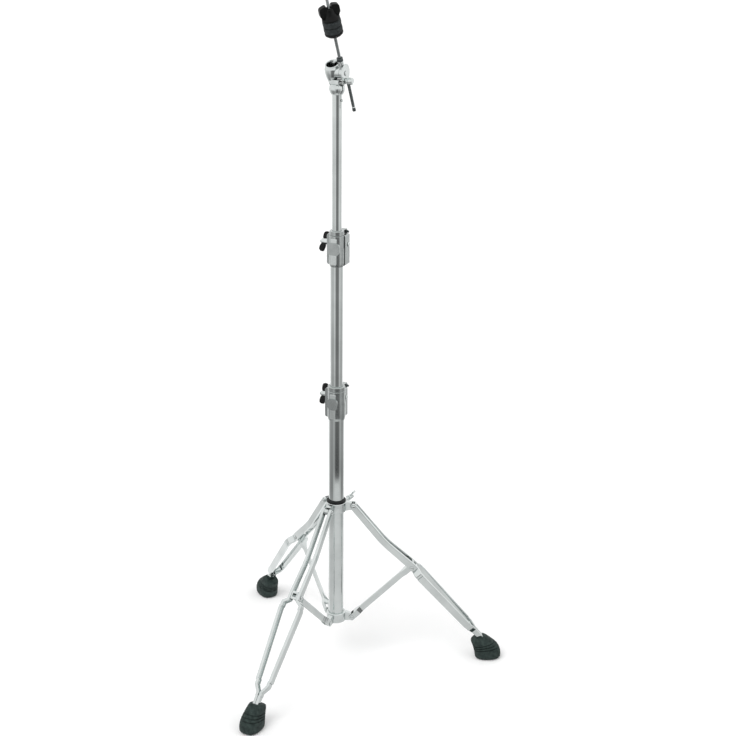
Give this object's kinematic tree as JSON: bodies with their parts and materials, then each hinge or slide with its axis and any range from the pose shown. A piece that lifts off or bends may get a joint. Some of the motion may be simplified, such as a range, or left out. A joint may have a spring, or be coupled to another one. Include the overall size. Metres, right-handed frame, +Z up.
{
  "type": "cymbal stand",
  "caption": "Straight double-braced tripod cymbal stand with telescoping tubes, wing-nut clamps, a tilter and a felted cymbal seat under a wing nut.",
  "frame": {"origin": "middle of the box around the three feet, on the floor", "axes": "+Z up along the pole, +X towards the right leg, -Y towards the viewer of the picture"},
  "size_m": [0.5462, 0.6254, 1.4094],
  "materials": {
    "chrome": "bright chrome plate on steel",
    "casting": "chrome plate on a cast body",
    "dark_steel": "dark plated steel",
    "nylon": "black moulded",
    "black_wing": "black moulded wing",
    "rubber": "ribbed black rubber",
    "felt": "pressed charcoal felt"
  },
  "bodies": {
    "base": {"base_tube": "chrome", "base_plug": "nylon", "lower_leg_collar": "casting", "lower_clamp": "casting", "lower_clamp_bush": "nylon", "lower_clamp_bolt": "chrome"},
    "leg_collar": {"upper_leg_collar": "casting", "collar_bush": "nylon"},
    "collar_bolt": {"collar_wing_bolt": "chrome"},
    "lower_nut": {"lower_clamp_wing_nut": "black_wing"},
    "lower_lock": {"lower_clamp_lock": "casting", "lower_clamp_lock_key_bolt": "dark_steel"},
    "middle": {"middle_tube": "chrome", "upper_clamp": "casting", "upper_clamp_bush": "nylon", "upper_clamp_bolt": "chrome"},
    "upper_nut": {"upper_clamp_wing_nut": "black_wing"},
    "upper_lock": {"upper_clamp_lock": "casting", "upper_clamp_lock_key_bolt": "dark_steel"},
    "upper": {"upper_tube": "chrome", "stop_screw": "chrome"},
    "tilter": {"tilter_housing": "casting", "tilter_cheek": "casting", "tilter_axle": "chrome"},
    "lever": {"tilter_lever": "dark_steel"},
    "rod": {"rod_holder": "casting", "cymbal_rod": "chrome", "rod_lock_nut": "dark_steel", "seat_cup": "nylon", "rod_sleeve": "nylon", "lower_felt": "felt"},
    "felt_lifted": {"upper_felt": "felt"},
    "cymbal_nut": {"cymbal_wing_nut": "black_wing"},
    "brace_right": {"brace_right": "chrome", "brace_pin_right": "chrome"},
    "leg_right": {"leg_strip_right_a": "chrome", "leg_strip_right_b": "chrome", "leg_bridge_right": "chrome", "foot_right": "rubber", "knee_rivet_right": "chrome", "leg_top_pin_right": "chrome"},
    "brace_front_left": {"brace_front_left": "chrome", "brace_pin_front_left": "chrome"},
    "leg_front_left": {"leg_strip_front_left_a": "chrome", "leg_strip_front_left_b": "chrome", "leg_bridge_front_left": "chrome", "foot_front_left": "rubber", "knee_rivet_front_left": "chrome", "leg_top_pin_front_left": "chrome"},
    "brace_rear_left": {"brace_rear_left": "chrome", "brace_pin_rear_left": "chrome"},
    "leg_rear_left": {"leg_strip_rear_left_a": "chrome", "leg_strip_rear_left_b": "chrome", "leg_bridge_rear_left": "chrome", "foot_rear_left": "rubber", "knee_rivet_rear_left": "chrome", "leg_top_pin_rear_left": "chrome"}
  },
  "joints": [
    {"name": "leg_fold", "type": "hinge", "parent": "base", "child": "brace_right", "pos_m": [-0.04993, 0, 0.097], "axis": [0, -1, 0], "range_deg": [0, 42]},
    {"name": "brace_fold_front_left", "type": "hinge", "parent": "base", "child": "brace_front_left", "pos_m": [-0.10093, -0.02944, 0.097], "axis": [-0.866, 0.5, 0], "range_deg": [0, 42]},
    {"name": "brace_fold_rear_left", "type": "hinge", "parent": "base", "child": "brace_rear_left", "pos_m": [-0.10093, 0.02944, 0.097], "axis": [0.866, 0.5, 0], "range_deg": [0, 42]},
    {"name": "knee_right", "type": "hinge", "parent": "brace_right", "child": "leg_right", "pos_m": [0.07657, 0, 0.219], "axis": [0, -1, 0], "range_deg": [-80.6, 0]},
    {"name": "knee_front_left", "type": "hinge", "parent": "brace_front_left", "child": "leg_front_left", "pos_m": [-0.16418, -0.139, 0.219], "axis": [-0.866, 0.5, 0], "range_deg": [-80.6, 0]},
    {"name": "knee_rear_left", "type": "hinge", "parent": "brace_rear_left", "child": "leg_rear_left", "pos_m": [-0.16418, 0.139, 0.219], "axis": [0.866, 0.5, 0], "range_deg": [-80.6, 0]},
    {"name": "leg_collar_slide", "type": "slide", "parent": "base", "child": "leg_collar", "axis": [0, 0, 1], "range_m": [0, 0.1005]},
    {"name": "collar_bolt_turn", "type": "hinge", "parent": "leg_collar", "child": "collar_bolt", "pos_m": [-0.08393, 0, 0.359], "axis": [0.5592, 0.829, 0], "range_deg": [-180, 180]},
    {"name": "lower_nut_turn", "type": "hinge", "parent": "base", "child": "lower_nut", "pos_m": [-0.09988, 0.03204, 0.596], "axis": [-0.9063, 0.4226, 0], "range_deg": [-180, 180]},
    {"name": "lower_lock_slide", "type": "slide", "parent": "base", "child": "lower_lock", "axis": [0, 0, 1], "range_m": [0, 0.025]},
    {"name": "middle_tube_slide", "type": "slide", "parent": "base", "child": "middle", "axis": [0, 0, 1], "range_m": [-0.205, 0.085]},
    {"name": "upper_nut_turn", "type": "hinge", "parent": "middle", "child": "upper_nut", "pos_m": [-0.09833, 0.02779, 0.9215], "axis": [-0.9063, 0.4226, 0], "range_deg": [-180, 180]},
    {"name": "upper_lock_slide", "type": "slide", "parent": "middle", "child": "upper_lock", "axis": [0, 0, 1], "range_m": [0, 0.025]},
    {"name": "upper_tube_slide", "type": "slide", "parent": "middle", "child": "upper", "axis": [0, 0, 1], "range_m": [-0.205, 0.085]},
    {"name": "tilter_swivel", "type": "hinge", "parent": "upper", "child": "tilter", "pos_m": [-0.08393, 0, 1.23], "axis": [0, 0, 1], "range_deg": [-180, 180]},
    {"name": "rod_tilt", "type": "hinge", "parent": "tilter", "child": "rod", "pos_m": [-0.08393, 0, 1.26], "axis": [0.9063, -0.4226, 0], "range_deg": [-106, 54]},
    {"name": "lever_turn", "type": "hinge", "parent": "tilter", "child": "lever", "pos_m": [-0.08393, 0, 1.246], "axis": [0.9063, -0.4226, 0], "range_deg": [-170, 170]},
    {"name": "upper_felt_lift", "type": "slide", "parent": "rod", "child": "felt_lifted", "axis": [-0.1853, -0.3973, 0.8988], "range_m": [0, 0.012]},
    {"name": "cymbal_nut_turn", "type": "hinge", "parent": "felt_lifted", "child": "cymbal_nut", "pos_m": [-0.0951, -0.05235, 1.36696], "axis": [-0.1853, -0.3973, 0.8988], "range_deg": [-180, 180]}
  ],
  "couplings": [
    {"joint": "brace_fold_front_left", "follows": "leg_fold", "ratio": 1},
    {"joint": "brace_fold_rear_left", "follows": "leg_fold", "ratio": 1},
    {"joint": "knee_right", "follows": "leg_fold", "ratio": -1.916},
    {"joint": "knee_front_left", "follows": "leg_fold", "ratio": -1.916},
    {"joint": "knee_rear_left", "follows": "leg_fold", "ratio": -1.916},
    {"joint": "leg_collar_slide", "follows": "leg_fold", "m_per_rad": 0.13682}
  ]
}
